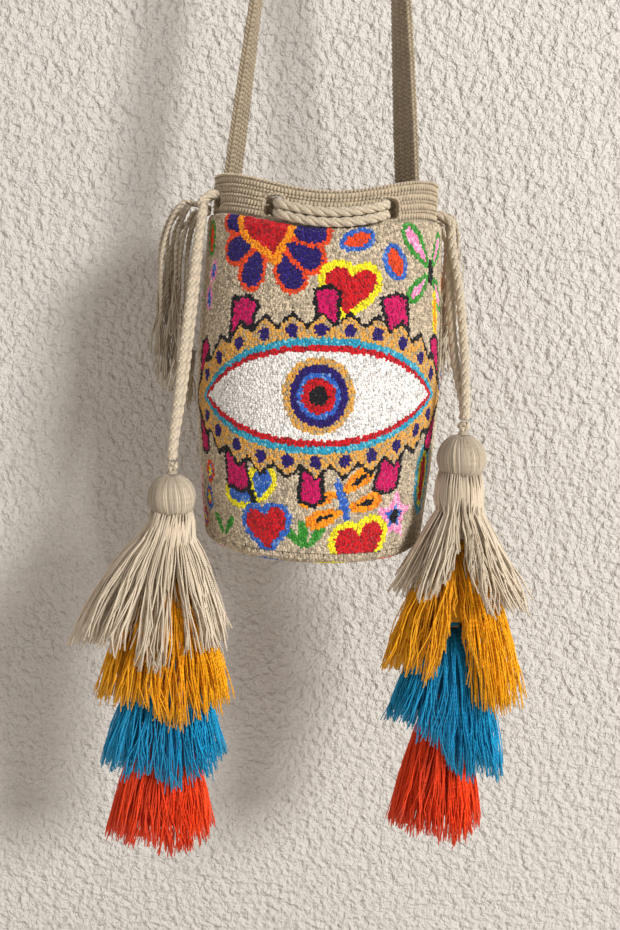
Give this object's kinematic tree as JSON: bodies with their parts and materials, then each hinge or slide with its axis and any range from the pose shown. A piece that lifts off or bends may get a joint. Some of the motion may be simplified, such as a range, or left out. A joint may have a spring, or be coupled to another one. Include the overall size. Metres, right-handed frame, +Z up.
{
  "type": "crocheted drawstring bucket bag",
  "caption": "Crocheted bucket bag with a tufted eye pattern, woven shoulder strap, neck drawstrings and long tiered tassels, shown hanging by its strap.",
  "frame": {"origin": "middle of the bearing face under the crown of the shoulder strap, where a peg or hook holds it", "axes": "+Z up towards the peg, -Y out of the front of the bag, +X to the right of someone who faces that front"},
  "size_m": [0.3592, 0.1916, 1.0211],
  "materials": {
    "crochet": "crocheted cotton, matt",
    "cord_yarn": "plied cotton cord, matt",
    "pile_beige": "looped wool pile, melange",
    "black": "looped wool pile",
    "white": "looped wool pile",
    "red": "looped wool pile",
    "magenta": "looped wool pile",
    "turquoise": "looped wool pile",
    "gold": "looped wool pile",
    "navy": "looped wool pile",
    "blue": "looped wool pile",
    "tassel_sand": "loose acrylic yarn",
    "tassel_yellow": "loose acrylic yarn",
    "tassel_teal": "loose acrylic yarn",
    "tassel_scarlet": "loose acrylic yarn",
    "thread_gold": "wound thread",
    "bead_wood": "bare turned wood"
  },
  "bodies": {
    "bag": {"crochet_bucket": "crochet", "base_pile": "pile_beige", "wall_pile_ground": "pile_beige", "block_upper_1": "magenta", "block_upper_2": "magenta", "block_upper_3": "magenta", "block_upper_4": "magenta", "block_upper_5": "magenta", "block_lower_1": "magenta", "block_lower_2": "magenta", "block_lower_3": "magenta", "block_lower_4": "magenta", "block_lower_5": "magenta", "outline_black": "black", "gold_band": "gold", "line_turquoise": "turquoise", "line_red": "red", "eye_white": "white", "pupil_black": "black", "iris_red": "red", "iris_blue": "blue", "iris_navy": "navy", "iris_gold": "gold", "heart_lower_left": "red", "heart_lower_right": "red", "heart_upper_left": "red", "heart_upper_right": "red", "shoulder_strap": "cord_yarn", "strap_fringe_left": "cord_yarn", "strap_fringe_right": "cord_yarn", "left_drawstring": "cord_yarn", "right_drawstring": "cord_yarn"},
    "left_cords": {"left_cord_front": "cord_yarn", "left_cord_back": "cord_yarn"},
    "left_tassel": {"left_knot": "cord_yarn", "left_bead": "bead_wood", "left_core_cord": "cord_yarn", "left_beige_tier": "tassel_sand", "left_beige_tie": "cord_yarn", "left_yellow_tier": "tassel_yellow", "left_yellow_tie": "thread_gold", "left_teal_tier": "tassel_teal", "left_teal_tie": "thread_gold", "left_red_tier": "tassel_scarlet", "left_red_tie": "thread_gold"},
    "right_cords": {"right_cord_front": "cord_yarn", "right_cord_back": "cord_yarn"},
    "right_tassel": {"right_knot": "cord_yarn", "right_bead": "bead_wood", "right_core_cord": "cord_yarn", "right_beige_tier": "tassel_sand", "right_beige_tie": "cord_yarn", "right_yellow_tier": "tassel_yellow", "right_yellow_tie": "thread_gold", "right_teal_tier": "tassel_teal", "right_teal_tie": "thread_gold", "right_red_tier": "tassel_scarlet", "right_red_tie": "thread_gold"}
  },
  "joints": [
    {"name": "left_cord_swing", "type": "hinge", "parent": "bag", "child": "left_cords", "pos_m": [-0.09172, -0.04215, -0.52801], "axis": [0, 1, 0], "range_deg": [0, 40]},
    {"name": "left_tassel_swing", "type": "hinge", "parent": "left_cords", "child": "left_tassel", "pos_m": [-0.1074, -0.068, -0.7176], "axis": [-1, 0, 0], "range_deg": [0, 35]},
    {"name": "right_cord_swing", "type": "hinge", "parent": "bag", "child": "right_cords", "pos_m": [0.09658, -0.02469, -0.53361], "axis": [0, -1, 0], "range_deg": [0, 40]},
    {"name": "right_tassel_swing", "type": "hinge", "parent": "right_cords", "child": "right_tassel", "pos_m": [0.1078, -0.075, -0.6783], "axis": [-1, 0, 0], "range_deg": [0, 35]}
  ]
}
